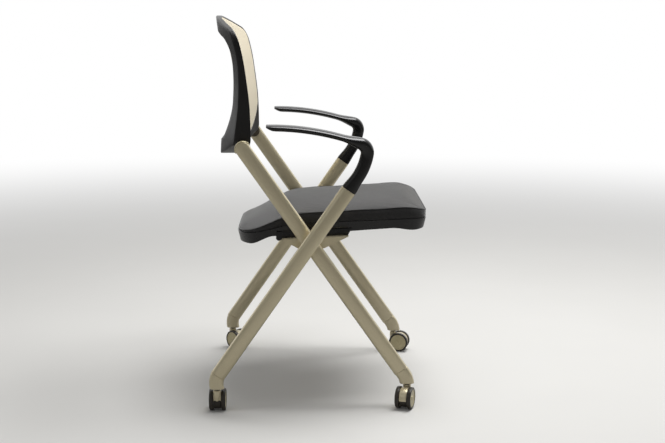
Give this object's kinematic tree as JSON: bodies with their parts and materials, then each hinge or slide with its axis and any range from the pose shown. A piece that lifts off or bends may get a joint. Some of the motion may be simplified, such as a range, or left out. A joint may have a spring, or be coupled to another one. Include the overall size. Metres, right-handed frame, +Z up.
{
  "type": "nesting chair",
  "caption": "Armchair with a crossed oval-tube frame on twin-wheel casters, a flip-up padded seat and a wrapped mesh back, made to nest.",
  "frame": {"origin": "on the floor at the middle of the footprint", "axes": "+X towards the front of the chair, +Y towards the sitter's left, +Z up"},
  "size_m": [0.4954, 0.602, 0.882],
  "materials": {
    "champagne_tube": "satin champagne-silver paint",
    "champagne_casting": "satin champagne-silver paint on cast metal",
    "champagne_cap": "moulded end cap in the frame colour",
    "dark_casting": "satin black paint",
    "steel": "plain turned steel",
    "rubber": "matte moulded rubber",
    "frame_plastic": "satin black moulded plastic",
    "arm_plastic": "fine-grained black moulded plastic",
    "pan_plastic": "satin black moulded plastic",
    "mesh_fabric": "stretched knitted mesh, cream",
    "seat_fabric": "woven upholstery cloth, dark grey",
    "wheel_tread": "smooth moulded tread"
  },
  "bodies": {
    "frame": {"rear_leg_tube_left": "champagne_tube", "front_leg_tube_left": "champagne_tube", "front_leg_end_left": "champagne_casting", "rear_leg_end_left": "champagne_casting", "arm_left": "arm_plastic", "back_bracket_left": "dark_casting", "rear_leg_tube_right": "champagne_tube", "front_leg_tube_right": "champagne_tube", "front_leg_end_right": "champagne_casting", "rear_leg_end_right": "champagne_casting", "arm_right": "arm_plastic", "back_bracket_right": "dark_casting", "leg_caps": "champagne_cap", "crossing_spacers": "champagne_tube", "cross_beam": "champagne_tube", "beam_end_plates": "champagne_tube", "hinge_lugs": "dark_casting", "hinge_pins": "steel", "rest_bumpers": "rubber", "back_frame": "frame_plastic", "back_mesh": "mesh_fabric", "back_screws": "steel"},
    "seat": {"seat_cushion": "seat_fabric", "seat_pan": "pan_plastic", "seat_bearer": "pan_plastic", "seat_screws": "steel"},
    "caster_right_rear": {"caster_right_rear_body": "champagne_casting", "caster_right_rear_axle": "steel"},
    "wheel_right_rear_a": {"caster_right_rear_wheel_a": "wheel_tread"},
    "wheel_right_rear_b": {"caster_right_rear_wheel_b": "wheel_tread"},
    "caster_right_front": {"caster_right_front_body": "champagne_casting", "caster_right_front_axle": "steel"},
    "wheel_right_front_a": {"caster_right_front_wheel_a": "wheel_tread"},
    "wheel_right_front_b": {"caster_right_front_wheel_b": "wheel_tread"},
    "caster_left_front": {"caster_left_front_body": "champagne_casting", "caster_left_front_axle": "steel"},
    "wheel_left_front_a": {"caster_left_front_wheel_a": "wheel_tread"},
    "wheel_left_front_b": {"caster_left_front_wheel_b": "wheel_tread"},
    "caster_left_rear": {"caster_left_rear_body": "champagne_casting", "caster_left_rear_axle": "steel"},
    "wheel_left_rear_a": {"caster_left_rear_wheel_a": "wheel_tread"},
    "wheel_left_rear_b": {"caster_left_rear_wheel_b": "wheel_tread"}
  },
  "joints": [
    {"name": "seat_flip", "type": "hinge", "parent": "frame", "child": "seat", "pos_m": [-0.08953, 0, 0.38617], "axis": [0, -1, 0], "range_deg": [0, 80]},
    {"name": "swivel_right_rear", "type": "hinge", "parent": "frame", "child": "caster_right_rear", "pos_m": [-0.229, -0.272, 0.06], "axis": [0, 0, 1], "continuous": true},
    {"name": "spin_right_rear_a", "type": "hinge", "parent": "caster_right_rear", "child": "wheel_right_rear_a", "pos_m": [-0.229, -0.256, 0.025], "axis": [-1, 0, 0], "continuous": true},
    {"name": "spin_right_rear_b", "type": "hinge", "parent": "caster_right_rear", "child": "wheel_right_rear_b", "pos_m": [-0.229, -0.256, 0.025], "axis": [-1, 0, 0], "continuous": true},
    {"name": "swivel_right_front", "type": "hinge", "parent": "frame", "child": "caster_right_front", "pos_m": [0.201, -0.236, 0.06], "axis": [0, 0, 1], "continuous": true},
    {"name": "spin_right_front_a", "type": "hinge", "parent": "caster_right_front", "child": "wheel_right_front_a", "pos_m": [0.19579, -0.25113, 0.025], "axis": [0.9455, -0.3256, 0], "continuous": true},
    {"name": "spin_right_front_b", "type": "hinge", "parent": "caster_right_front", "child": "wheel_right_front_b", "pos_m": [0.19579, -0.25113, 0.025], "axis": [0.9455, -0.3256, 0], "continuous": true},
    {"name": "swivel_left_front", "type": "hinge", "parent": "frame", "child": "caster_left_front", "pos_m": [0.201, 0.236, 0.06], "axis": [0, 0, 1], "continuous": true},
    {"name": "spin_left_front_a", "type": "hinge", "parent": "caster_left_front", "child": "wheel_left_front_a", "pos_m": [0.21646, 0.23186, 0.025], "axis": [0.2588, 0.9659, 0], "continuous": true},
    {"name": "spin_left_front_b", "type": "hinge", "parent": "caster_left_front", "child": "wheel_left_front_b", "pos_m": [0.21646, 0.23186, 0.025], "axis": [0.2588, 0.9659, 0], "continuous": true},
    {"name": "swivel_left_rear", "type": "hinge", "parent": "frame", "child": "caster_left_rear", "pos_m": [-0.229, 0.272, 0.06], "axis": [0, 0, 1], "continuous": true},
    {"name": "spin_left_rear_a", "type": "hinge", "parent": "caster_left_rear", "child": "wheel_left_rear_a", "pos_m": [-0.21769, 0.26069, 0.025], "axis": [0.7071, 0.7071, 0], "continuous": true},
    {"name": "spin_left_rear_b", "type": "hinge", "parent": "caster_left_rear", "child": "wheel_left_rear_b", "pos_m": [-0.21769, 0.26069, 0.025], "axis": [0.7071, 0.7071, 0], "continuous": true}
  ]
}
